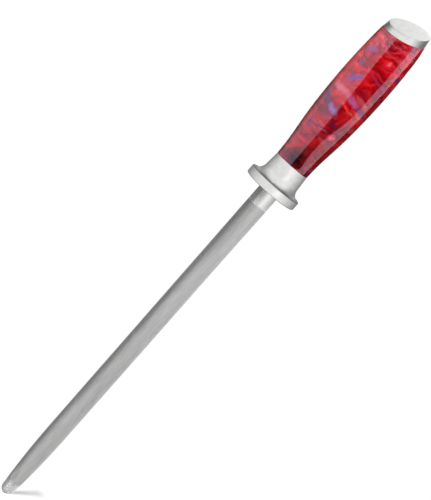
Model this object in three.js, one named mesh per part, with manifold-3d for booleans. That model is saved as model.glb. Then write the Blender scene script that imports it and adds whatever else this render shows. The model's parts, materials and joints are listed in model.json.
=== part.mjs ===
// Knife sharpening steel with a 10 inch rod, in millimetres.
//
// +Z runs along the rod's axis towards the butt, so the rod hangs down. The origin is on that axis, in the
// plane of the guard's lower face, which rests on a knife block when the rod is dropped into its slot.
// A tang turned on the rod passes through the guard and the handle, and a nut in a well in the handle's end
// clamps them together. A slanted end cap plugs the well. Its low side faces -Y.

import * as THREE from "three";
import { mergeVertices } from "three/addons/utils/BufferGeometryUtils.js";
import Module from "manifold-3d";

// Left between pieces that touch.
const GAP = 0.3;

// Facets around the large turned pieces and around the small ones.
const ROUND = 48;
const ROUND_SMALL = 32;
const FACETS_PER_CORNER = 3;

// Rod, with the depths of its shoulder, tang and thread above the guard's lower face.
const ROD_RADIUS = 6.5;
const ROD_LENGTH = 254;
const TIP_RADIUS = 4.42;
const TAPER_LENGTH = 50;
const TAPER_FACETS = 9;
const DOME_FACETS = 6;
const SHOULDER_Z = 8;
const TANG_RADIUS = 4;
const TANG_Z = 86;
const THREAD_RADIUS = 3;
const THREAD_Z = 101;
const THREAD_CHAMFER = 0.6;

// Guard: a round flange, a fillet and a ferrule that narrows to the handle, with a spigot inside the handle.
const FLANGE_RADIUS = 17.35;
const FLANGE_THICKNESS = 5.6;
const FLANGE_EDGE = 0.9;
const FILLET_REACH = 4.4;
const FILLET_HEIGHT = 5.8;
const FILLET_FACETS = 6;
const FERRULE_ROOT_RADIUS = 11.8;
const FERRULE_END_RADIUS = 11.15;
const GUARD_LENGTH = 19.6;
const SPIGOT_RADIUS = 6.5;
const SPIGOT_LENGTH = 6;

// Outline of the handle and its end cap: heights above the guard's upper face, and radii.
const GRIP_OUTLINE = [
  [0, FERRULE_END_RADIUS],
  [8, 11.5],
  [16, 12.25],
  [26, 13.35],
  [38, 14.25],
  [52, 14.75],
  [66, 14.8],
  [80, 14.3],
  [90, 13.6],
  [97, 12.4],
  [107, 10.8],
];
const GRIP_FACETS = 26;

// Well in the handle's end, with its floor's height above the guard's upper face, and the parts inside it.
const WELL_RADIUS = 7.5;
const WELL_FLOOR = 68.4;
const WASHER_RADIUS = 7;
const WASHER_THICKNESS = 1.5;
const LOCK_RADIUS = 5.9;
const LOCK_THICKNESS = 1.6;
const LOCK_SLOT = 1;
const NUT_ACROSS_FLATS = 10;
const NUT_THICKNESS = 5;
const NUT_CHAMFER = 0.7;

// End cap: where its joint and its face cross the axis, above the guard's upper face, and how they slant.
// Its plug reaches down into the well, and PLUG_BITE up past the joint, which makes it one body with the cap.
const JOINT_Z = 94.8;
const JOINT_SLANT = THREE.MathUtils.degToRad(21);
const FACE_Z = 99.8;
const FACE_SLANT = THREE.MathUtils.degToRad(27.5);
const PLUG_RADIUS = WELL_RADIUS - GAP;
const PLUG_BORE_RADIUS = 4.2;
const PLUG_DEPTH = 11;
const PLUG_BITE = 1;

// Two dowels that key the end cap to the handle, across the joint on either side of the well.
const DOWEL_RADIUS = 1;
const DOWEL_CHAMFER = 0.2;
const DOWEL_OFFSET = 10;
const DOWEL_BELOW_JOINT = 5;
const DOWEL_ABOVE_JOINT = 2.6;

// Larger than any piece that a slanted plane cuts.
const CUTTER_SIZE = 60;

const wasm = await Module();
wasm.setup();

// Points of an arc in a profile, as [radius, height], with its angles in degrees. It can be taller than wide.
function arc(centreRadius, centreZ, reach, from, to, facets, height = reach) {
  return Array.from({ length: facets + 1 }, (_, i) => {
    const angle = THREE.MathUtils.degToRad(from + ((to - from) * i) / facets);
    return [centreRadius + reach * Math.cos(angle), centreZ + height * Math.sin(angle)];
  });
}

// A turned piece about Z. Its profile climbs on the outside and either starts and ends on the axis or closes.
function turned(profile, facets = ROUND) {
  const points = profile.map(([radius, z]) => new THREE.Vector2(radius, z));
  return new THREE.LatheGeometry(points, facets).rotateX(Math.PI / 2);
}

// A turned piece with a bore through it. The profile is the outside, from its lower end to its upper end.
function turnedWithBore(outside, boreRadius, facets) {
  const bottom = outside[0][1];
  const top = outside.at(-1)[1];
  return turned([[boreRadius, bottom], ...outside, [boreRadius, top], [boreRadius, bottom]], facets);
}

function toSolid(geometry) {
  const bare = geometry.clone();
  bare.deleteAttribute("normal");
  bare.deleteAttribute("uv");
  const merged = mergeVertices(bare, 1e-4);
  return new wasm.Manifold(
    new wasm.Mesh({
      numProp: 3,
      vertProperties: merged.getAttribute("position").array,
      triVerts: new Uint32Array(merged.index.array),
    }),
  );
}

function toGeometry(solid) {
  const mesh = solid.getMesh();
  const geometry = new THREE.BufferGeometry();
  geometry.setAttribute("position", new THREE.BufferAttribute(mesh.vertProperties, 3));
  geometry.setIndex(new THREE.BufferAttribute(mesh.triVerts, 1));
  geometry.computeVertexNormals();
  return geometry;
}

// A solid cylinder about Z between two heights, moved aside to x.
function pillar(radius, bottom, top, x = 0) {
  const profile = [[0, bottom], [radius, bottom], [radius, top], [0, top]];
  return toSolid(turned(profile, ROUND_SMALL).translate(x, 0, 0));
}

// Everything above a plane that crosses the axis at z and slants down towards -Y.
function above(z, slant) {
  const block = new THREE.BoxGeometry(CUTTER_SIZE, CUTTER_SIZE, CUTTER_SIZE);
  return toSolid(block.translate(0, 0, CUTTER_SIZE / 2).rotateX(slant).translate(0, 0, z));
}

// The outline of the handle and cap between two heights, as profile points.
function gripOutline(bottom, top) {
  const control = GRIP_OUTLINE.map(([z, radius]) => new THREE.Vector2(radius, z));
  const points = new THREE.SplineCurve(control).getPoints(GRIP_FACETS);
  const inside = points.filter((point) => point.y > bottom && point.y < top);
  const ends = [points.findLast((point) => point.y <= bottom), points.find((point) => point.y >= top)];
  return [[ends[0].x, bottom], ...inside.map((point) => [point.x, point.y]), [ends[1].x, top]];
}

function steelRod() {
  const taperStart = TIP_RADIUS - ROD_LENGTH;
  const narrowing = 1 - TIP_RADIUS / ROD_RADIUS;
  const taper = Array.from({ length: TAPER_FACETS }, (_, i) => {
    const along = (i + 1) / TAPER_FACETS;
    return [ROD_RADIUS * (1 - narrowing * (1 - along) ** 2), taperStart + TAPER_LENGTH * along];
  });
  return turned([
    ...arc(0, taperStart, TIP_RADIUS, -90, 0, DOME_FACETS),
    ...taper,
    [ROD_RADIUS, SHOULDER_Z],
    [TANG_RADIUS, SHOULDER_Z],
    [TANG_RADIUS, TANG_Z],
    [THREAD_RADIUS, TANG_Z],
    [THREAD_RADIUS, THREAD_Z - THREAD_CHAMFER],
    [THREAD_RADIUS - THREAD_CHAMFER, THREAD_Z],
    [0, THREAD_Z],
  ]);
}

function guardBolster() {
  const edgeRadius = FLANGE_RADIUS - FLANGE_EDGE;
  const filletRadius = FERRULE_ROOT_RADIUS + FILLET_REACH;
  const filletZ = FLANGE_THICKNESS + FILLET_HEIGHT;
  const socketRadius = ROD_RADIUS + GAP;
  const socketDepth = SHOULDER_Z + GAP;
  const boreRadius = TANG_RADIUS + GAP;
  const spigotZ = GUARD_LENGTH + SPIGOT_LENGTH;
  return turned([
    [socketRadius, 0],
    ...arc(edgeRadius, FLANGE_EDGE, FLANGE_EDGE, -90, 0, FACETS_PER_CORNER),
    ...arc(edgeRadius, FLANGE_THICKNESS - FLANGE_EDGE, FLANGE_EDGE, 0, 90, FACETS_PER_CORNER),
    ...arc(filletRadius, filletZ, FILLET_REACH, 270, 180, FILLET_FACETS, FILLET_HEIGHT),
    [FERRULE_END_RADIUS, GUARD_LENGTH],
    [SPIGOT_RADIUS, GUARD_LENGTH],
    [SPIGOT_RADIUS, spigotZ],
    [boreRadius, spigotZ],
    [boreRadius, socketDepth],
    [socketRadius, socketDepth],
    [socketRadius, 0],
  ]);
}

// The holes for both dowels, in the handle and in the cap.
function dowelHoles() {
  const bottom = JOINT_Z - DOWEL_BELOW_JOINT - GAP;
  const top = JOINT_Z + DOWEL_ABOVE_JOINT + GAP;
  const hole = (side) => pillar(DOWEL_RADIUS + GAP, bottom, top, side * DOWEL_OFFSET);
  return hole(-1).add(hole(1));
}

function handleBody() {
  const top = GRIP_OUTLINE.at(-1)[0];
  const boreRadius = TANG_RADIUS + GAP;
  const spigotRadius = SPIGOT_RADIUS + GAP;
  const spigotDepth = SPIGOT_LENGTH + GAP;
  const blank = turned([
    [spigotRadius, GAP],
    ...gripOutline(GAP, top),
    [WELL_RADIUS, top],
    [WELL_RADIUS, WELL_FLOOR],
    [boreRadius, WELL_FLOOR],
    [boreRadius, spigotDepth],
    [spigotRadius, spigotDepth],
    [spigotRadius, GAP],
  ]);
  return toGeometry(toSolid(blank).subtract(above(JOINT_Z, JOINT_SLANT)).subtract(dowelHoles()));
}

function endCap() {
  const top = GRIP_OUTLINE.at(-1)[0];
  const plugEnd = JOINT_Z - PLUG_DEPTH;
  const blank = toSolid(turned([[0, plugEnd], ...gripOutline(plugEnd, top), [0, top]]));
  const disc = blank.intersect(above(JOINT_Z + GAP, JOINT_SLANT)).subtract(above(FACE_Z, FACE_SLANT));
  const tube = pillar(PLUG_RADIUS, plugEnd, FACE_Z).subtract(pillar(PLUG_BORE_RADIUS, plugEnd - GAP, top));
  const plug = tube.subtract(above(JOINT_Z + GAP + PLUG_BITE, JOINT_SLANT));
  return toGeometry(disc.add(plug).subtract(dowelHoles()));
}

function tangWasher() {
  const outside = [[WASHER_RADIUS, 0], [WASHER_RADIUS, WASHER_THICKNESS]];
  return turnedWithBore(outside, THREAD_RADIUS + GAP, ROUND_SMALL);
}

function lockWasher() {
  const outside = [[LOCK_RADIUS, 0], [LOCK_RADIUS, LOCK_THICKNESS]];
  const slot = new THREE.BoxGeometry(LOCK_RADIUS, LOCK_SLOT, LOCK_THICKNESS * 3);
  const ring = toSolid(turnedWithBore(outside, THREAD_RADIUS + GAP, ROUND_SMALL));
  return toGeometry(ring.subtract(toSolid(slot.translate(LOCK_RADIUS, 0, 0))));
}

function tangNut() {
  const cornerRadius = NUT_ACROSS_FLATS / Math.sqrt(3);
  const prism = new THREE.CylinderGeometry(cornerRadius, cornerRadius, NUT_THICKNESS, 6);
  prism.rotateX(Math.PI / 2).translate(0, 0, NUT_THICKNESS / 2);
  const chamfered = toSolid(
    turned([
      [0, 0],
      [cornerRadius - NUT_CHAMFER, 0],
      [cornerRadius, NUT_CHAMFER / 2],
      [cornerRadius, NUT_THICKNESS - NUT_CHAMFER / 2],
      [cornerRadius - NUT_CHAMFER, NUT_THICKNESS],
      [0, NUT_THICKNESS],
    ]),
  );
  const bore = pillar(THREAD_RADIUS + GAP, -GAP, NUT_THICKNESS + GAP);
  return toGeometry(toSolid(prism).intersect(chamfered).subtract(bore));
}

function dowel() {
  const length = DOWEL_BELOW_JOINT + DOWEL_ABOVE_JOINT;
  const endRadius = DOWEL_RADIUS - DOWEL_CHAMFER;
  return turned(
    [
      [0, 0],
      [endRadius, 0],
      [DOWEL_RADIUS, DOWEL_CHAMFER],
      [DOWEL_RADIUS, length - DOWEL_CHAMFER],
      [endRadius, length],
      [0, length],
    ],
    ROUND_SMALL,
  );
}

const honedSteel = new THREE.MeshStandardMaterial({ color: 0xa9a9a8, roughness: 0.42, metalness: 1 });
const satinSteel = new THREE.MeshStandardMaterial({ color: 0xc2c1bf, roughness: 0.34, metalness: 1 });
const redResin = new THREE.MeshStandardMaterial({ color: 0x8e0f18, roughness: 0.12, metalness: 0 });
const zincPlate = new THREE.MeshStandardMaterial({ color: 0xb4b6b8, roughness: 0.4, metalness: 1 });

function addPiece(group, name, geometry, material, x, z) {
  const mesh = new THREE.Mesh(geometry, material);
  mesh.name = name;
  mesh.position.set(x, 0, z);
  group.add(mesh);
}

const sharpeningSteel = new THREE.Group();
addPiece(sharpeningSteel, "steel_rod", steelRod(), honedSteel, 0, 0);
addPiece(sharpeningSteel, "guard_bolster", guardBolster(), satinSteel, 0, 0);

// The grip's heights are measured from the guard's upper face.
const grip = new THREE.Group();
grip.position.z = GUARD_LENGTH;
sharpeningSteel.add(grip);
addPiece(grip, "handle_body", handleBody(), redResin, 0, 0);
addPiece(grip, "end_cap", endCap(), satinSteel, 0, 0);

const washerZ = WELL_FLOOR + GAP;
const lockZ = washerZ + WASHER_THICKNESS + GAP;
const nutZ = lockZ + LOCK_THICKNESS + GAP;
addPiece(grip, "tang_washer", tangWasher(), zincPlate, 0, washerZ);
addPiece(grip, "lock_washer", lockWasher(), zincPlate, 0, lockZ);
addPiece(grip, "tang_nut", tangNut(), zincPlate, 0, nutZ);

for (const [name, side] of [["cap_dowel_left", -1], ["cap_dowel_right", 1]]) {
  addPiece(grip, name, dowel(), zincPlate, side * DOWEL_OFFSET, JOINT_Z - DOWEL_BELOW_JOINT);
}

export default sharpeningSteel;
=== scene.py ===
"""Looks of a knife sharpening steel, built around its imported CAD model.

Lengths are in metres, and +Z runs from the rod's tip to the butt.
"""

import json
import math

import bmesh
import bpy
import numpy as np
from mathutils import Matrix, Vector


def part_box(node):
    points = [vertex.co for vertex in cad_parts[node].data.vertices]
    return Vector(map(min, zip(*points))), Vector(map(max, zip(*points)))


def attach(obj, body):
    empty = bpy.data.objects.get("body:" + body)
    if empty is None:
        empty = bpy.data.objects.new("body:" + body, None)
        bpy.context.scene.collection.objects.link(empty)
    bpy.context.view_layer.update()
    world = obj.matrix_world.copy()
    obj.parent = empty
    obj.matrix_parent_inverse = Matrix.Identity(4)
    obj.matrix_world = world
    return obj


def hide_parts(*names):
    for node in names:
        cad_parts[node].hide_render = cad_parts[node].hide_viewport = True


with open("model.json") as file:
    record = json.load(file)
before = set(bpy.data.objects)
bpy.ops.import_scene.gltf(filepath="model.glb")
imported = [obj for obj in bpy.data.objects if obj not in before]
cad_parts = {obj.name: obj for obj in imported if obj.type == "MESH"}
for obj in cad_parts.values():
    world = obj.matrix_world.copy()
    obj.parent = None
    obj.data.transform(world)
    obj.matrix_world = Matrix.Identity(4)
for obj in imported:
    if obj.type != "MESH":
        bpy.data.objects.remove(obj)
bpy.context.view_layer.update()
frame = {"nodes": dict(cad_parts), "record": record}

MM = 0.001
mounts = {mount["name"]: mount for mount in frame["record"]["mounts"]}

# The camera: where it looks from, and the point near the rod's axis that it looks at.
VIEW_AZIMUTH = math.radians(29)
VIEW_ELEVATION = math.radians(11.1)
VIEW_ROLL = math.radians(41.33)
VIEW_DISTANCE = 559.6 * MM
VIEW_TARGET_Z = -47.5 * MM
VIEW_TARGET_ASIDE = -0.86 * MM
LENS = 68.4

# Columns of faces round a turned piece, and the gap between hidden surfaces that fit together.
COLUMNS = 144
CLEARANCE = 0.1 * MM

# Rod. Its ridges are cut into the rod, so their crests lie on its outer radius.
rod_low, rod_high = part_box("steel_rod")
ROD_RADIUS = rod_high.x
TIP_Z = rod_low.z
TIP_RADIUS = 4.42 * MM
TAPER_LENGTH = 50 * MM
SMOOTH_TIP = 11.5 * MM
SMOOTH_NECK = 10 * MM
RIDGE_FADE = 1.5 * MM
RIDGES = 90
RIDGE_DEPTH = 0.07 * MM
COLUMNS_PER_RIDGE = 4
SHOULDER_Z = 8 * MM
TANG_RADIUS = 4 * MM
TANG_Z = 86 * MM
THREAD_RADIUS = 3 * MM
THREAD_Z = rod_high.z
THREAD_PITCH = 1 * MM
THREAD_DEPTH = 0.5 * MM
THREAD_CHAMFER = 0.5 * MM
THREAD_STEPS = 5

# Guard.
guard_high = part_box("guard_bolster")[1]
FLANGE_RADIUS = guard_high.x
FLANGE_THICKNESS = 5.6 * MM
FLANGE_EDGE = 0.9 * MM
FILLET_REACH = 4.4 * MM
FILLET_HEIGHT = 5.8 * MM
FERRULE_ROOT_RADIUS = 11.8 * MM
FERRULE_END_RADIUS = 11.15 * MM
FERRULE_EDGE = 0.35 * MM
GUARD_LENGTH = 19.6 * MM
SPIGOT_Z = guard_high.z
SPIGOT_RADIUS = 6.5 * MM
SPIGOT_EDGE = 0.3 * MM
SOCKET_RADIUS = ROD_RADIUS + CLEARANCE
SOCKET_Z = SHOULDER_Z + CLEARANCE
BORE_RADIUS = TANG_RADIUS + CLEARANCE
BORE_EDGE = 0.2 * MM

# Outline that the handle and end cap share: heights above the guard, and radii.
GRIP_OUTLINE = [
    (0, 11.15),
    (8, 11.5),
    (16, 12.25),
    (26, 13.35),
    (38, 14.25),
    (52, 14.75),
    (66, 14.8),
    (80, 14.3),
    (90, 13.6),
    (97, 12.4),
    (107, 10.8),
]
SEAM = 0.04 * MM
RESIN_EDGE = 0.25 * MM
WELL_RADIUS = 7.5 * MM
WELL_FLOOR_Z = 88 * MM

# End cap: its face is the butt_face mount's plane, and its joint slants less.
FACE_Z = mounts["butt_face"]["pos_m"][2]
FACE_SLANT = -mounts["butt_face"]["axis"][1] / mounts["butt_face"]["axis"][2]
JOINT_Z = FACE_Z - 5 * MM
JOINT_SLANT = math.tan(math.radians(21))
CAP_EDGE = 0.45 * MM
CAP_JOINT_EDGE = 0.15 * MM
PLUG_RADIUS = 7.2 * MM
PLUG_EDGE = 0.3 * MM
PLUG_BORE_RADIUS = 4.2 * MM
PLUG_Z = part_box("end_cap")[0].z


# --- Meshes ---------------------------------------------------------------------------------------


def arc(centre_r, centre_z, reach, height, start, end, steps):
    """Points of an elliptical arc in a turned piece's half section, with angles in degrees."""
    angles = np.radians(np.linspace(start, end, steps + 1))
    return [(centre_r + reach * math.cos(a), centre_z + height * math.sin(a)) for a in angles]


def rounded(corners, steps=4):
    """An outline from (r, z, radius) corners, each rounded by its radius."""
    outline = []
    count = len(corners)
    for i, (r, z, radius) in enumerate(corners):
        if radius == 0:
            outline.append((r, z))
            continue
        here = Vector((r, z))
        before = (Vector(corners[i - 1][:2]) - here).normalized()
        after = (Vector(corners[(i + 1) % count][:2]) - here).normalized()
        half = before.angle(after) / 2
        centre = here + (before + after).normalized() * (radius / math.sin(half))
        start = here + before * (radius / math.tan(half)) - centre
        end = here + after * (radius / math.tan(half)) - centre
        sweep = start.angle_signed(end)
        for k in range(steps + 1):
            outline.append(tuple(centre + Matrix.Rotation(-sweep * k / steps, 2) @ start))
    return outline


def swept(name, outline_at, columns, closed):
    """A mesh from one outline of (r, z) points per column round the axis.

    A closed outline joins its last point to its first; an open one starts and ends on the axis.
    """
    angles = [2 * math.pi * i / columns for i in range(columns)]
    grid = [outline_at(angle) for angle in angles]
    rows = len(grid[0])
    verts = [
        (r * math.cos(a), r * math.sin(a), z) for a, outline in zip(angles, grid) for r, z in outline
    ]
    faces = []
    for i in range(columns):
        here, there = i * rows, (i + 1) % columns * rows
        for j in range(rows if closed else rows - 1):
            k = (j + 1) % rows
            faces.append((here + j, there + j, there + k, here + k))
    return add_object(name, finished(new_mesh(name, verts, faces)))


def new_mesh(name, verts, faces):
    mesh = bpy.data.meshes.new(name)
    mesh.from_pydata(verts, [], faces)
    return mesh


def finished(mesh):
    """Merges the points that lie on the axis and smooths the shading."""
    work = bmesh.new()
    work.from_mesh(mesh)
    bmesh.ops.remove_doubles(work, verts=work.verts, dist=0.001 * MM)
    bmesh.ops.dissolve_degenerate(work, edges=work.edges, dist=0.0001 * MM)
    bmesh.ops.recalc_face_normals(work, faces=work.faces)
    work.to_mesh(mesh)
    work.free()
    mesh.shade_smooth()
    mesh.set_sharp_from_angle(angle=math.radians(40))
    return mesh


def add_object(name, data):
    """Makes an object of a mesh, a light or a camera, and puts it in the scene."""
    obj = bpy.data.objects.new(name, data)
    bpy.context.scene.collection.objects.link(obj)
    return obj


def smoothstep(low, high, x):
    """A smooth rise from 0 at low to 1 at high."""
    t = np.clip((np.asarray(x, float) - low) / (high - low), 0, 1)
    return t * t * (3 - 2 * t)


def grip_radius(z):
    """The handle and cap's radius at a height, by a Catmull-Rom spline through GRIP_OUTLINE."""
    heights = [GUARD_LENGTH + h * MM for h, _ in GRIP_OUTLINE]
    radii = [r * MM for _, r in GRIP_OUTLINE]
    i = int(np.clip(np.searchsorted(heights, z) - 1, 0, len(heights) - 2))
    before, after = max(i - 1, 0), min(i + 2, len(heights) - 1)
    span = heights[i + 1] - heights[i]
    t = (z - heights[i]) / span
    slope_in = (radii[i + 1] - radii[before]) / (heights[i + 1] - heights[before]) * span
    slope_out = (radii[after] - radii[i]) / (heights[after] - heights[i]) * span
    return (
        radii[i] * (2 * t**3 - 3 * t**2 + 1)
        + slope_in * (t**3 - 2 * t**2 + t)
        + radii[i + 1] * (3 * t**2 - 2 * t**3)
        + slope_out * (t**3 - t**2)
    )


def plane_z(height, slant, angle, radius):
    """A slanted plane's height above a point, low towards -Y."""
    return height + slant * radius * math.sin(angle)


def wall_top(height, slant, angle):
    """Where the grip's outline meets a slanted plane in one column."""
    z = height
    for _ in range(6):
        z = plane_z(height, slant, angle, grip_radius(z))
    return z


def make_rod():
    """The ridged rod with its smooth neck and tip, the shank, the tang and its thread, as one mesh."""
    taper_z = TIP_Z + TIP_RADIUS
    narrowing = 1 - TIP_RADIUS / ROD_RADIUS
    taper_end = taper_z + TAPER_LENGTH
    ridges_end = -SMOOTH_NECK - RIDGE_FADE
    heights = [TIP_Z + TIP_RADIUS * (1 - math.cos(a)) for a in np.linspace(0, math.pi / 2, 13)]
    for low, high, rows in (
        (taper_z, taper_end, 36),
        (taper_end, ridges_end, 12),
        (ridges_end, -SMOOTH_NECK, 5),
    ):
        heights += list(np.linspace(low, high, rows)[1:])
    heights += [-0.5 * SMOOTH_NECK, 0.0, SHOULDER_Z]

    def body_radius(z):
        if z < taper_z:
            return math.sqrt(max(TIP_RADIUS**2 - (taper_z - z) ** 2, 0))
        along = min((z - taper_z) / TAPER_LENGTH, 1)
        return ROD_RADIUS * (1 - narrowing * (1 - along) ** 2)

    def ridged(z):
        start = smoothstep(TIP_Z + SMOOTH_TIP - RIDGE_FADE, TIP_Z + SMOOTH_TIP, z)
        end = smoothstep(ridges_end, -SMOOTH_NECK, z)
        return float(start * (1 - end))

    thread_end = THREAD_Z - THREAD_CHAMFER
    thread = np.arange(TANG_Z + THREAD_CHAMFER, thread_end, THREAD_PITCH / THREAD_STEPS)

    def outline(angle):
        groove = 0.5 - 0.5 * math.cos(RIDGES * angle)
        points = [(body_radius(z) - ridged(z) * RIDGE_DEPTH * groove, z) for z in heights]
        points += [(TANG_RADIUS, SHOULDER_Z), (TANG_RADIUS, TANG_Z), (THREAD_RADIUS, TANG_Z)]
        for z in thread:
            turn = z / THREAD_PITCH - angle / (2 * math.pi)
            rise = smoothstep(TANG_Z, TANG_Z + THREAD_PITCH, z)
            fall = smoothstep(thread_end - THREAD_PITCH, thread_end, z)
            cut = abs(2 * (turn % 1) - 1)
            points.append((THREAD_RADIUS - float(rise * (1 - fall)) * THREAD_DEPTH * cut, z))
        points += [
            (THREAD_RADIUS, thread_end),
            (THREAD_RADIUS - THREAD_CHAMFER, THREAD_Z),
            (0, THREAD_Z),
        ]
        return points

    rod = swept("rod", outline, RIDGES * COLUMNS_PER_RIDGE, closed=False)
    share = rod.data.attributes.new("ridged", "FLOAT", "POINT")
    share.data.foreach_set("value", [ridged(v.co.z) for v in rod.data.vertices])
    return rod


def make_guard():
    """The turned guard: flange, fillet, ferrule and the spigot inside the handle."""
    fillet_r = FERRULE_ROOT_RADIUS + FILLET_REACH
    fillet_z = FLANGE_THICKNESS + FILLET_HEIGHT
    fillet = arc(fillet_r, fillet_z, FILLET_REACH, FILLET_HEIGHT, 270, 180, 18)
    ferrule_root = Vector((FERRULE_ROOT_RADIUS, fillet_z))
    ferrule_end = Vector((FERRULE_END_RADIUS, GUARD_LENGTH))
    ferrule = [ferrule_root.lerp(ferrule_end, t) for t in np.linspace(0, 1, 9)[1:-1]]
    corners = [
        (SOCKET_RADIUS, 0, BORE_EDGE),
        (FLANGE_RADIUS, 0, FLANGE_EDGE),
        (FLANGE_RADIUS, FLANGE_THICKNESS, FLANGE_EDGE),
        *[(r, z, 0) for r, z in (*fillet, *ferrule)],
        (FERRULE_END_RADIUS, GUARD_LENGTH, FERRULE_EDGE),
        (SPIGOT_RADIUS, GUARD_LENGTH, 0),
        (SPIGOT_RADIUS, SPIGOT_Z, SPIGOT_EDGE),
        (BORE_RADIUS, SPIGOT_Z, BORE_EDGE),
        (BORE_RADIUS, SOCKET_Z, 0),
        (SOCKET_RADIUS, SOCKET_Z, 0),
    ]
    outline = rounded(corners, steps=6)
    return swept("guard", lambda angle: outline, COLUMNS, closed=True)


def make_handle():
    """The resin handle, with its bore, the well for the nut and its slanted end."""
    bottom = GUARD_LENGTH + SEAM
    recess_radius = SPIGOT_RADIUS + CLEARANCE
    recess_z = SPIGOT_Z + CLEARANCE

    def outline(angle):
        top = wall_top(JOINT_Z - SEAM, JOINT_SLANT, angle)
        wall = [(grip_radius(z), z, 0) for z in np.linspace(bottom, top, 72)[1:-1]]
        well_top = plane_z(JOINT_Z - SEAM, JOINT_SLANT, angle, WELL_RADIUS)
        corners = [
            (grip_radius(bottom), bottom, RESIN_EDGE),
            *wall,
            (grip_radius(top), top, RESIN_EDGE),
            (WELL_RADIUS, well_top, 0),
            (WELL_RADIUS, WELL_FLOOR_Z, 0),
            (BORE_RADIUS, WELL_FLOOR_Z, 0),
            (BORE_RADIUS, recess_z, 0),
            (recess_radius, recess_z, 0),
            (recess_radius, bottom, 0),
        ]
        return rounded(corners)

    return swept("handle", outline, COLUMNS, closed=True)


def make_cap():
    """The slanted end cap and the plug under it, which fits the handle's well."""

    def outline(angle):
        low = wall_top(JOINT_Z + SEAM, JOINT_SLANT, angle)
        high = wall_top(FACE_Z, FACE_SLANT, angle)
        wall = [(grip_radius(z), z, 0) for z in np.linspace(low, high, 12)[1:-1]]

        def joint(radius):
            return plane_z(JOINT_Z + SEAM, JOINT_SLANT, angle, radius)

        inner = 0.8 * grip_radius(high)
        corners = [
            (PLUG_BORE_RADIUS, joint(PLUG_BORE_RADIUS), 0),
            (PLUG_BORE_RADIUS, PLUG_Z, 0),
            (PLUG_RADIUS, PLUG_Z, PLUG_EDGE),
            (PLUG_RADIUS, joint(PLUG_RADIUS), 0),
            (grip_radius(low), low, CAP_JOINT_EDGE),
            *wall,
            (grip_radius(high), high, CAP_EDGE),
            (inner, plane_z(FACE_Z, FACE_SLANT, angle, inner), 0),
        ]
        return [(0, JOINT_Z + SEAM), *rounded(corners), (0, FACE_Z)]

    return swept("cap", outline, COLUMNS, closed=False)


# --- Materials ------------------------------------------------------------------------------------


class Nodes:
    """Adds nodes to a tree. An input is a socket or a value, and each call returns the output socket."""

    def __init__(self, tree):
        self.tree = tree

    def add(self, kind, inputs=(), output=0, **settings):
        node = self.tree.nodes.new(kind)
        for key, value in settings.items():
            setattr(node, key, value)
        for key, value in dict(inputs).items():
            self.connect(node.inputs[key], value)
        return node.outputs[output]

    def connect(self, socket, value):
        if isinstance(value, bpy.types.NodeSocket):
            self.tree.links.new(value, socket)
        else:
            socket.default_value = value

    def math(self, operation, *values):
        return self.add("ShaderNodeMath", enumerate(values), operation=operation)

    def vector(self, operation, *values, output=0):
        return self.add("ShaderNodeVectorMath", enumerate(values), output, operation=operation)

    def mix(self, factor, a, b, blend="MIX"):
        inputs = {0: factor, 6: a, 7: b}
        return self.add("ShaderNodeMix", inputs, 2, data_type="RGBA", blend_type=blend)

    def between(self, value, low, high, to_low=0.0, to_high=1.0, smooth=False):
        inputs = {0: value, 1: low, 2: high, 3: to_low, 4: to_high}
        kind = "SMOOTHSTEP" if smooth else "LINEAR"
        return self.add("ShaderNodeMapRange", inputs, interpolation_type=kind)

    def noise(self, vector, scale, detail=3.0, output="Fac"):
        inputs = {"Vector": vector, "Scale": scale, "Detail": detail, "Roughness": 0.55}
        return self.add("ShaderNodeTexNoise", inputs, output)

    def cells(self, vector, scale):
        """A random colour in each Voronoi cell."""
        inputs = {"Vector": vector, "Scale": scale}
        return self.add("ShaderNodeTexVoronoi", inputs, "Color")

    def ramp(self, factor, stops):
        node = self.tree.nodes.new("ShaderNodeValToRGB")
        elements = node.color_ramp.elements
        while len(elements) < len(stops):
            elements.new(0.5)
        for element, (position, colour) in zip(elements, stops):
            element.position = position
            element.color = (*colour, 1)
        self.connect(node.inputs[0], factor)
        return node.outputs[0]

    def mapped(self, vector, rotation=(0, 0, 0), scale=(1, 1, 1)):
        inputs = {"Vector": vector, "Rotation": rotation, "Scale": scale}
        return self.add("ShaderNodeMapping", inputs)

    def bump(self, height, strength, distance):
        inputs = {"Height": height, "Strength": strength, "Distance": distance}
        return self.add("ShaderNodeBump", inputs)

    def scaled(self, vector, scale):
        inputs = {0: vector, "Scale": scale}
        return self.add("ShaderNodeVectorMath", inputs, operation="SCALE")

    def split(self, vector, axis):
        return self.add("ShaderNodeSeparateXYZ", {0: vector}, axis)

    def millimetres(self):
        return self.scaled(self.add("ShaderNodeTexCoord", output="Object"), 1 / MM)

    def finish(self, kind, shader):
        self.connect(self.tree.nodes.new(kind).inputs["Surface"], shader)


def new_material(name, metallic):
    """A material with a Principled shader, and its node builder."""
    material = bpy.data.materials.new(name)
    material.use_nodes = True
    shader = material.node_tree.nodes["Principled BSDF"]
    shader.inputs["Metallic"].default_value = metallic
    shader.inputs["IOR"].default_value = 1.5
    return material, Nodes(material.node_tree), shader


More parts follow.
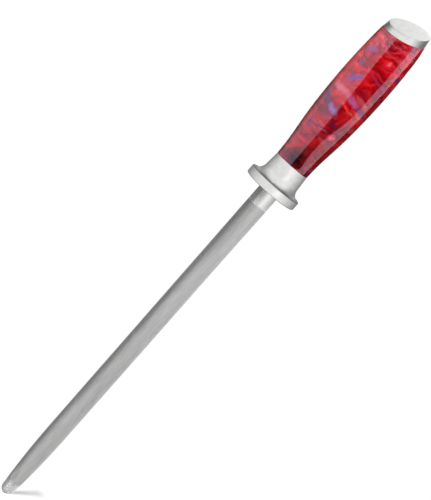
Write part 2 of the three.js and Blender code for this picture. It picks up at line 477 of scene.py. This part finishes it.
def honed_steel():
    """Ridged steel with streaks along the rod, brighter at its smooth neck and mottled at its ground tip."""
    material, nodes, shader = new_material("honed_steel", 1.0)
    place = nodes.millimetres()
    ridged = nodes.add("ShaderNodeAttribute", output="Fac", attribute_name="ridged")
    streaks = nodes.noise(nodes.mapped(place, scale=(1, 1, 0.04)), 2.2, detail=4)
    wear = nodes.noise(nodes.mapped(place, scale=(1, 1, 0.2)), 0.12, detail=2)
    ridge_colour = nodes.ramp(streaks, [(0.3, (0.35, 0.35, 0.35)), (0.7, (0.52, 0.52, 0.515))])
    worn = nodes.mix(nodes.between(wear, 0.4, 0.7, 0.0, 0.3), ridge_colour, (0.58, 0.58, 0.57, 1))
    mottle = nodes.noise(place, 1.1, detail=4)
    ground = nodes.ramp(mottle, [(0.38, (0.44, 0.44, 0.44)), (0.62, (0.84, 0.84, 0.83))])
    is_tip = nodes.math("LESS_THAN", nodes.split(place, "Z"), 0.5 * TIP_Z / MM)
    smooth = nodes.mix(is_tip, (0.62, 0.62, 0.61, 1), ground)
    colour = nodes.mix(ridged, smooth, worn)
    nodes.connect(shader.inputs["Base Color"], colour)
    ridge_rough = nodes.between(streaks, 0.3, 0.7, 0.30, 0.42)
    smooth_rough = nodes.between(is_tip, 0.0, 1.0, 0.18, 0.42)
    rough = nodes.add("ShaderNodeMix", {0: ridged, 2: smooth_rough, 3: ridge_rough})
    nodes.connect(shader.inputs["Roughness"], rough)
    nodes.connect(shader.inputs["Normal"], nodes.bump(streaks, 0.25, 0.05 * MM))
    return material


def satin_steel():
    """Turned steel with faint tool lines round the axis, a soft mottle, painted shade in the hollow above the
    flange and a painted highlight at the ferrule's end.
    """
    material, nodes, shader = new_material("satin_steel", 1.0)
    place = nodes.millimetres()
    mottle = nodes.noise(place, 0.35, detail=4)
    grain = nodes.noise(place, 6.0, detail=3)
    lines = nodes.noise(nodes.mapped(place, scale=(0.04, 0.04, 1)), 5.0, detail=3)
    colour = nodes.ramp(mottle, [(0.3, (0.76, 0.76, 0.75)), (0.7, (0.87, 0.87, 0.86))])

    def distance_from(z):
        offset = nodes.math("SUBTRACT", nodes.split(place, "Z"), z / MM)
        return nodes.math("ABSOLUTE", offset)

    # Painted shade: a dark band in the hollow above the flange. Painted highlight: a near-white band round
    # the ferrule's end.
    painted_crease_shade = nodes.between(distance_from(FLANGE_THICKNESS), 0.8, 0.1, 0.0, 0.8, smooth=True)
    colour = nodes.mix(painted_crease_shade, colour, (0.12, 0.12, 0.12, 1))
    # Painted highlight: a near-white band round the ferrule's end.
    painted_edge_highlight = nodes.between(distance_from(GUARD_LENGTH), 0.7, 0.3, smooth=True)
    colour = nodes.mix(painted_edge_highlight, colour, (0.97, 0.94, 0.94, 1))
    nodes.connect(shader.inputs["Base Color"], colour)
    nodes.connect(shader.inputs["Roughness"], nodes.between(grain, 0.3, 0.7, 0.30, 0.40))
    nodes.connect(shader.inputs["Normal"], nodes.bump(lines, 0.2, 0.03 * MM))
    return material


def zinc_plate():
    """Plated fasteners inside the handle."""
    material, nodes, shader = new_material("zinc_plate", 1.0)
    place = nodes.millimetres()
    colour = nodes.mix(0.15, (0.68, 0.69, 0.71, 1), nodes.cells(place, 0.9))
    rough = nodes.between(nodes.noise(place, 1.5), 0.3, 0.7, 0.28, 0.42)
    nodes.connect(shader.inputs["Base Color"], colour)
    nodes.connect(shader.inputs["Roughness"], rough)
    return material


# Broad patches and flecks in the resin: height above the guard and azimuth of the middle, tilt from level,
# length and width, and colour. Heights and sizes are in millimetres, and angles in degrees.
PATCHES = [
    # Painted light: this bright patch low on the left offsets the painted shade towards the guard, as if lit
    # from the left.
    (12.0, -14, 0, 18, 34, (0.95, 0.020, 0.050)),
    (25.0, -4, 0, 14, 16, (0.66, 0.020, 0.036)),
    (85.0, -4, 30, 18, 12, (0.40, 0.045, 0.060)),
]
FLECKS = [
    (59.6, 5, 41, 11, 3.4, (0.11, 0.05, 0.24)),
    (50.8, -3, -8, 15, 4.2, (0.50, 0.10, 0.15)),
    (48.6, 40, -14, 11, 4.2, (0.32, 0.07, 0.19)),
    (38.9, 13, -24, 9, 4.0, (0.19, 0.13, 0.36)),
    (42.7, -20, -40, 14, 6.5, (0.06, 0.025, 0.09)),
    (36.0, 2, -35, 10, 3.2, (0.14, 0.015, 0.05)),
    (25.2, -13, -20, 7, 3.8, (0.10, 0.02, 0.07)),
    (68.3, -6, -50, 6, 3.2, (0.14, 0.02, 0.09)),
    (77.2, -11, 20, 9, 4.0, (0.22, 0.05, 0.17)),
    (26.4, 58, 30, 5, 4.2, (0.66, 0.08, 0.14)),
    (76.9, 43, 60, 3, 1.8, (0.66, 0.09, 0.13)),
    (5.4, 25, 0, 14, 13, (0.006, 0.001, 0.002)),
    (11.0, 27, 80, 7, 4.0, (0.07, 0.010, 0.004)),
    (47.5, 69, -10, 8, 4.6, (0.12, 0.02, 0.07)),
    (73.9, 91, 30, 7, 4.0, (0.10, 0.02, 0.08)),
    (90.8, 71, -20, 8, 4.4, (0.20, 0.06, 0.11)),
    (43.1, 52, -10, 5, 2.2, (0.44, 0.06, 0.045)),
    (31.9, 44, -14, 14, 2.0, (0.07, 0.004, 0.03)),
    (70.2, 39, 8, 10, 2.6, (0.20, 0.0, 0.004)),
    (54.6, 38, 12, 10, 3.2, (0.26, 0.0, 0.006)),
    (84.5, 43, 35, 9, 1.6, (0.66, 0.012, 0.014)),
    (80.6, 36, 28, 8, 1.4, (0.66, 0.014, 0.014)),
    (62.0, 40, 30, 9, 2.0, (0.62, 0.008, 0.010)),
    (43.5, 36, -28, 9, 1.6, (0.72, 0.02, 0.02)),
    (88.0, 45, 15, 10, 2.0, (0.26, 0.0, 0.006)),
    (36.0, 160, 30, 13, 4.0, (0.10, 0.06, 0.28)),
    (58.0, 200, -30, 12, 4.2, (0.32, 0.07, 0.22)),
    (70.0, 240, 20, 13, 4.0, (0.50, 0.10, 0.15)),
    (22.0, 220, -50, 9, 5.0, (0.02, 0.005, 0.01)),
    (48.0, 285, 40, 11, 4.0, (0.10, 0.06, 0.26)),
    (80.0, 150, -15, 10, 4.2, (0.10, 0.02, 0.08)),
]

# Folded sheets in the resin: lean and tilt from level, in radians, closeness, and depth of shade.
FOLDS = [
    (0.4, 0.95, 0.26, 0.36),
    (-0.4, -0.80, 0.30, 0.30),
    (0.7, 0.40, 0.20, 0.26),
]

# Shards in the resin: lean and tilt, closeness, and share.
SHARDS = [
    (0.3, -0.6, 0.32, 0.40),
    (0.5, 0.9, 0.40, 0.30),
]

# Streaks in the resin: lean and tilt, closeness, the noise levels where one starts and is full, share, and
# colour.
STREAKS = [
    (0.2, 0.55, 0.16, 0.58, 0.70, 0.45, (0.66, 0.09, 0.12)),
    (0.5, 0.9, 0.22, 0.60, 0.67, 0.7, (0.12, 0.0, 0.005)),
    (-0.3, -0.7, 0.18, 0.62, 0.72, 0.45, (0.56, 0.09, 0.16)),
    (-0.6, 0.3, 0.20, 0.63, 0.72, 0.45, (0.16, 0.03, 0.10)),
]

# How deep a fleck reaches into the resin, as a radius in millimetres.
FLECK_DEPTH = 12


def add_flecks(nodes, place, base, flecks):
    """Mixes soft-edged, strandy flecks into a base colour."""
    for above_guard, azimuth, tilt, length, width, colour in flecks:
        z = GUARD_LENGTH / MM + above_guard
        radius = grip_radius(z * MM) / MM
        turn = math.radians(azimuth)
        local_inputs = {
            "Vector": place,
            "Location": (radius * math.sin(turn), -radius * math.cos(turn), z),
            "Rotation": (0, -math.radians(tilt), turn),
            "Scale": (length / 2, FLECK_DEPTH, width / 2),
        }
        local = nodes.add("ShaderNodeMapping", local_inputs, vector_type="TEXTURE")
        distance = nodes.vector("LENGTH", local, output=1)
        grain = nodes.noise(nodes.mapped(local, scale=(0.9, 0, 2.2)), 1.0)
        strands = nodes.between(grain, 0.3, 0.55, 0.5, 1.0)
        soft_edge = nodes.between(distance, 1.35, 0.2, smooth=True)
        base = nodes.mix(nodes.math("MULTIPLY", soft_edge, strands), base, (*colour, 1))
    return base


def red_resin():
    """Marbled cast resin: folded sheets of deep and bright red with pink, violet and near-black flecks, with
    painted light and shade by height.
    """
    material, nodes, shader = new_material("red_resin", 0.0)
    place = nodes.millimetres()

    def offsets(scale, detail):
        colour = nodes.noise(place, scale, detail, output="Color")
        return nodes.vector("SUBTRACT", colour, (0.5, 0.5, 0.5))

    swirl = offsets(0.05, 1)
    ripple = offsets(0.4, 2)
    folded = nodes.vector("ADD", place, nodes.scaled(swirl, 18.0))
    torn = nodes.vector("ADD", folded, nodes.scaled(ripple, 1.6))
    ragged = nodes.vector("ADD", place, nodes.scaled(ripple, 3.5))

    clouds = nodes.noise(folded, 0.09)
    reds = [
        (0.32, (0.24, 0.0, 0.002)),
        (0.48, (0.44, 0.001, 0.003)),
        (0.62, (0.60, 0.004, 0.006)),
        (0.75, (0.72, 0.015, 0.020)),
    ]
    base = add_flecks(nodes, ragged, nodes.ramp(clouds, reds), PATCHES)

    # Folded sheets at several tilts: each layer is thin plates of one tone, and softer streaks along them.
    for lean, tilt, size, depth in FOLDS:
        plates = nodes.mapped(torn, rotation=(lean, tilt, 0), scale=(0.25, 0.25, 1))
        cell = nodes.split(nodes.cells(plates, size), "X")
        tone = nodes.between(cell, 0.0, 1.0, 1 - depth, 1.0)
        wave = nodes.noise(plates, 1.2 * size, detail=2)
        streak = nodes.between(wave, 0.3, 0.7, -0.6 * depth, 0.9 * depth)
        base = nodes.mix(1.0, base, nodes.math("ADD", tone, streak), blend="MULTIPLY")

    # Shards: each cell has its own tone, and the darkest and palest ones show.
    for lean, tilt, size, share in SHARDS:
        splinters = nodes.mapped(torn, rotation=(lean, tilt, 0), scale=(0.45, 0.45, 1))
        cell = nodes.split(nodes.cells(splinters, size), "X")
        darkest = nodes.between(cell, 0.24, 0.16, 0.0, share)
        palest = nodes.between(cell, 0.80, 0.88, 0.0, share)
        base = nodes.mix(darkest, base, (0.13, 0.0, 0.008, 1))
        base = nodes.mix(palest, base, (0.62, 0.014, 0.034, 1))

    # Streaks of pink and of maroon.
    for lean, tilt, size, low, high, share, colour in STREAKS:
        sheet = nodes.mapped(torn, rotation=(lean, tilt, 0), scale=(0.3, 0.3, 1))
        level = nodes.noise(sheet, size, detail=2)
        cover = nodes.between(level, low, high, 0.0, share, smooth=True)
        base = nodes.mix(cover, base, (*colour, 1))

    # Painted light and shade: the colour darkens towards the guard and brightens towards the butt, as light
    # from above falls, under the flecks.
    height = nodes.math("SUBTRACT", nodes.split(place, "Z"), GUARD_LENGTH / MM)
    brightness = nodes.between(height, 8.0, 90.0, 0.56, 1.24)
    base = nodes.mix(1.0, base, brightness, blend="MULTIPLY")
    base = add_flecks(nodes, ragged, base, FLECKS)

    nodes.connect(shader.inputs["Base Color"], base)
    shader.inputs["Roughness"].default_value = 0.05
    shader.inputs["Specular Tint"].default_value = (0.95, 0.80, 1.0, 1)
    return material


# --- Pieces ---------------------------------------------------------------------------------------


def place_piece(piece, node, material):
    """Puts a visual piece in the place of its CAD node."""
    piece.data.materials.append(material)
    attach(piece, "root")
    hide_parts(node)
    return piece


satin = satin_steel()
rod = place_piece(make_rod(), "steel_rod", honed_steel())
guard = place_piece(make_guard(), "guard_bolster", satin)
handle = place_piece(make_handle(), "handle_body", red_resin())
cap = place_piece(make_cap(), "end_cap", satin)

plated = zinc_plate()
for name in ("tang_washer", "lock_washer", "tang_nut", "cap_dowel_left", "cap_dowel_right"):
    for material_slot in frame["nodes"][name].material_slots:
        material_slot.material = plated


# --- Camera, floor and light ----------------------------------------------------------------------

FLOOR_REACH = 3.0
FLOOR_GAP = 0.05 * MM
FLOOR_GLOW = 0.5
WORLD_GREY = 0.05

# The key light, at an azimuth from the camera's, and the card whose shadow it casts at the tip.
KEY_STRENGTH = 1.9
KEY_SPREAD = math.radians(1.5)
KEY_AZIMUTH = math.radians(-33)
KEY_ELEVATION = math.radians(82)
CARD_WIDTH = 3 * MM

# Soft boxes stand in rows at these elevations, and a wall of them has one every few degrees.
BELOW = (-80, -40)
OVERHEAD = (32, 60, 90)
BOX_STEP = 6

# Brightness of the walls of soft boxes, as (azimuth from the camera's, brightness) stops.
STEEL_WALLS = [
    (-180, 0.08),
    (-140, 0.2),
    (-105, 0.5),
    (-60, 0.85),
    (-10, 0.85),
    (8, 0.9),
    (26, 1.35),
    (44, 0.95),
    (70, 0.8),
    (105, 0.5),
    (140, 0.2),
    (180, 0.08),
]
GUARD_OVERHEAD = [
    (-180, 1.0),
    (-148, 0.25),
    (-120, 0.3),
    (-95, 0.6),
    (-70, 0.92),
    (10, 0.86),
    (36, 1.05),
    (60, 0.9),
    (85, 0.55),
    (110, 0.25),
    (148, 0.2),
    (180, 1.0),
]
CAP_OVERHEAD = [
    (-180, 1.15),
    (-166, 1.05),
    (-148, 0.02),
    (-120, 0.02),
    (-95, 0.25),
    (-70, 0.92),
    (10, 0.86),
    (36, 1.05),
    (60, 0.84),
    (85, 0.36),
    (110, 0.1),
    (148, 0.08),
    (166, 1.05),
    (180, 1.15),
]
NECK_WALLS = [
    (-180, 0.2),
    (-140, 0.16),
    (-60, 0.18),
    (-30, 0.2),
    (-6, 0.56),
    (30, 1.5),
    (60, 1.1),
    (110, 0.5),
    (180, 0.6),
]
ROD_WALLS = [
    (-180, 0.4),
    (-120, 0.46),
    (-80, 0.25),
    (-62, 0.5),
    (-44, 1.3),
    (-25, 1.12),
    (0, 0.95),
    (60, 0.84),
    (110, 0.9),
    (150, 1.6),
    (180, 1.6),
]
ROD_END_WALLS = [(azimuth, 1.45 * level) for azimuth, level in ROD_WALLS]
ROD_TIP_WALLS = [(azimuth, max(level, 0.42)) for azimuth, level in ROD_WALLS]
ROD_OVERHEAD = [(0, 0.8)]
RESIN_WALLS = [
    (-180, 0.15),
    (-120, 0.3),
    (-60, 1.15),
    (20, 1.85),
    (70, 0.9),
    (110, 0.2),
    (180, 0.2),
]
RESIN_OVERHEAD = [
    (-60, 1.3),
    (60, 1.2),
    (120, 0.7),
]

# The gloss of the resin: a box on the left that dims towards the back, and a bent one on the right. A box's
# rows are (elevation, first azimuth, last azimuth).
LEFT_LOW = [
    (-80, -90, -7),
    (0, -90, -7),
]
LEFT_HIGH = [
    (0, -90, -7),
    (12, -90, -19),
    (30, -90, -27),
    (80, -90, -27),
]
LEFT_BACK = [
    (-150, 0.05),
    (-134, 0.2),
    (-118, 0.8),
    (-104, 1.7),
    (-90, 2.3),
]
RIGHT = [
    (-80, 34, 99),
    (-14, 34, 99),
    (-8, 46, 99),
    (-2, 62, 100),
    (10, 66, 108),
    (25, 69, 127),
    (80, 69, 127),
]


def direction(azimuth, elevation):
    """A unit vector. Azimuth 0 is -Y, and azimuths grow towards +X."""
    across = math.cos(elevation)
    return Vector((math.sin(azimuth) * across, -math.cos(azimuth) * across, math.sin(elevation)))


def collection_of(name, objects):
    """A collection for light linking."""
    collection = bpy.data.collections.new(name)
    for obj in objects:
        collection.objects.link(obj)
    return collection


def make_camera():
    """The camera, turned by its roll about the line from the steel to it."""
    back = direction(VIEW_AZIMUTH, VIEW_ELEVATION)
    level_right = Vector((math.cos(VIEW_AZIMUTH), math.sin(VIEW_AZIMUTH), 0))
    level_up = back.cross(level_right)
    right = level_right * math.cos(VIEW_ROLL) + level_up * math.sin(VIEW_ROLL)
    up = level_up * math.cos(VIEW_ROLL) - level_right * math.sin(VIEW_ROLL)
    target = Vector((0, 0, VIEW_TARGET_Z)) + level_right * VIEW_TARGET_ASIDE
    data = bpy.data.cameras.new("camera")
    data.lens = LENS
    data.sensor_width = 36
    data.clip_start = 0.01
    data.clip_end = 50
    camera = add_object("camera", data)
    axes = Matrix((right, up, back)).transposed()
    camera.matrix_world = Matrix.Translation(target + back * VIEW_DISTANCE) @ axes.to_4x4()
    bpy.context.scene.camera = camera


def make_world():
    """White to the camera, and a dim grey to everything else."""
    world = bpy.data.worlds.new("world")
    bpy.context.scene.world = world
    world.use_nodes = True
    world.node_tree.nodes.clear()
    nodes = Nodes(world.node_tree)
    is_camera = nodes.add("ShaderNodeLightPath", output="Is Camera Ray")
    grey = (WORLD_GREY, WORLD_GREY, WORLD_GREY, 1)
    colour = nodes.mix(is_camera, grey, (1, 1, 1, 1))
    background = nodes.add("ShaderNodeBackground", {"Color": colour, "Strength": 1.0})
    nodes.finish("ShaderNodeOutputWorld", background)


def make_floor():
    """A pale floor under the tip, which glows a little so that it stays pale under the soft light."""
    half = FLOOR_REACH
    z = TIP_Z - FLOOR_GAP
    verts = [(-half, -half, z), (half, -half, z), (half, half, z), (-half, half, z)]
    mesh = new_mesh("floor", verts, [(0, 1, 2, 3)])
    material, _, shader = new_material("floor", 0.0)
    shader.inputs["Base Color"].default_value = (0.8, 0.8, 0.8, 1)
    shader.inputs["Roughness"].default_value = 0.9
    shader.inputs["Specular IOR Level"].default_value = 0.0
    shader.inputs["Emission Color"].default_value = (1, 1, 1, 1)
    shader.inputs["Emission Strength"].default_value = FLOOR_GLOW
    mesh.materials.append(material)
    ground = add_object("floor", mesh)
    ground.visible_glossy = False
    ground.visible_diffuse = False
    return ground


def shadow_card(azimuth):
    """A narrow card inside the rod, facing an azimuth, that casts a shadow instead of the rod."""
    aside = Vector((math.cos(azimuth), math.sin(azimuth), 0)) * CARD_WIDTH / 2
    foot = Vector((0, 0, TIP_Z))
    verts = [foot - aside, foot + aside, aside, -aside]
    card = add_object("shadow_card", new_mesh("shadow_card", verts, [(0, 1, 2, 3)]))
    card.visible_camera = False
    card.visible_glossy = False
    card.visible_diffuse = False
    return card


def key_light(ground):
    """A sun high in front, on the left. Its card's shadow on the floor is the tip's faint thin streak."""
    azimuth = VIEW_AZIMUTH + KEY_AZIMUTH
    data = bpy.data.lights.new("key", "SUN")
    data.energy = KEY_STRENGTH
    data.angle = KEY_SPREAD
    key = add_object("key", data)
    key.rotation_euler = direction(azimuth, KEY_ELEVATION).to_track_quat("Z", "Y").to_euler()
    card = shadow_card(azimuth)
    key.light_linking.receiver_collection = collection_of("key_receivers", [ground])
    key.light_linking.blocker_collection = collection_of("key_blockers", [card])


def glow_material():
    """Emits each face's own brightness, and lets light from behind through."""
    material = bpy.data.materials.new("glow")
    material.use_nodes = True
    material.node_tree.nodes.clear()
    nodes = Nodes(material.node_tree)
    level = nodes.add("ShaderNodeAttribute", output="Fac", attribute_name="level")
    emission = nodes.add("ShaderNodeEmission", {"Strength": level})
    clear = nodes.add("ShaderNodeBsdfTransparent")
    both = nodes.add("ShaderNodeAddShader", {0: emission, 1: clear})
    nodes.finish("ShaderNodeOutputMaterial", both)
    return material


def soft_boxes(name, glow, pieces, boxes, radius, glossy=True, diffuse=True):
    """Curved panels of light about the steel, which light only the given pieces.

    A box is a brightness and its rows, as (elevation, first azimuth, last azimuth) in degrees. Azimuths are
    measured from the side that the camera looks from.
    """
    verts = []
    faces = []
    levels = []
    for level, rows in boxes:
        first = len(verts)
        columns = math.ceil((rows[0][2] - rows[0][1]) / BOX_STEP)
        for elevation, start, end in rows:
            for azimuth in np.radians(np.linspace(start, end, columns + 1)) + VIEW_AZIMUTH:
                verts.append(direction(azimuth, math.radians(elevation)) * radius)
        for i in range(len(rows) - 1):
            for j in range(columns):
                corner = first + i * (columns + 1) + j
                faces.append((corner, corner + 1, corner + columns + 2, corner + columns + 1))
                levels.append(level)
    mesh = new_mesh(name, verts, faces)
    mesh.attributes.new("level", "FLOAT", "FACE").data.foreach_set("value", levels)
    mesh.materials.append(glow)
    panels = add_object(name, mesh)
    panels.visible_camera = False
    panels.visible_shadow = False
    panels.visible_glossy = glossy
    panels.visible_diffuse = diffuse
    panels.light_linking.receiver_collection = collection_of(name + "_receivers", pieces)


def walls(stops, elevations, start=-180, end=180):
    """Boxes all round the steel, or part of the way, whose brightness follows (azimuth, brightness) stops."""
    boxes = []
    for azimuth in range(start, end, BOX_STEP):
        level = float(np.interp(azimuth + BOX_STEP / 2, *zip(*stops)))
        boxes.append((level, [(e, azimuth, azimuth + BOX_STEP) for e in elevations]))
    return boxes


def make_soft_boxes():
    """Each group of boxes has its own radius, so that no two panels share a surface."""
    glow = glow_material()
    for piece, overhead, radius in ((guard, GUARD_OVERHEAD, 1.0), (cap, CAP_OVERHEAD, 1.05)):
        steel_boxes = [
            *walls(STEEL_WALLS, (*BELOW, 12)),
            *walls(overhead, (12, *OVERHEAD)),
        ]
        soft_boxes(piece.name + "_light", glow, [piece], steel_boxes, radius)

    rod_boxes = [
        *walls(NECK_WALLS, (-9, 32)),
        *walls(ROD_END_WALLS, (-18, -9)),
        *walls(ROD_WALLS, (-28, -18)),
        *walls(ROD_TIP_WALLS, (*BELOW, -28)),
        *walls(ROD_OVERHEAD, OVERHEAD),
    ]
    soft_boxes("rod_light", glow, [rod], rod_boxes, 1.1)

    gloss_boxes = [
        (2.2, LEFT_LOW),
        (2.6, LEFT_HIGH),
        (2.5, RIGHT),
        *walls(LEFT_BACK, (-80, 80), -150, -90),
    ]
    fill_boxes = [
        *walls(RESIN_WALLS, (*BELOW, -10, 32)),
        *walls(RESIN_OVERHEAD, OVERHEAD),
    ]
    soft_boxes("resin_gloss", glow, [handle], gloss_boxes, 1.2, diffuse=False)
    soft_boxes("resin_fill", glow, [handle], fill_boxes, 1.3, glossy=False)


make_camera()
make_world()
key_light(make_floor())
make_soft_boxes()
bpy.context.scene.view_settings.view_transform = "Standard"
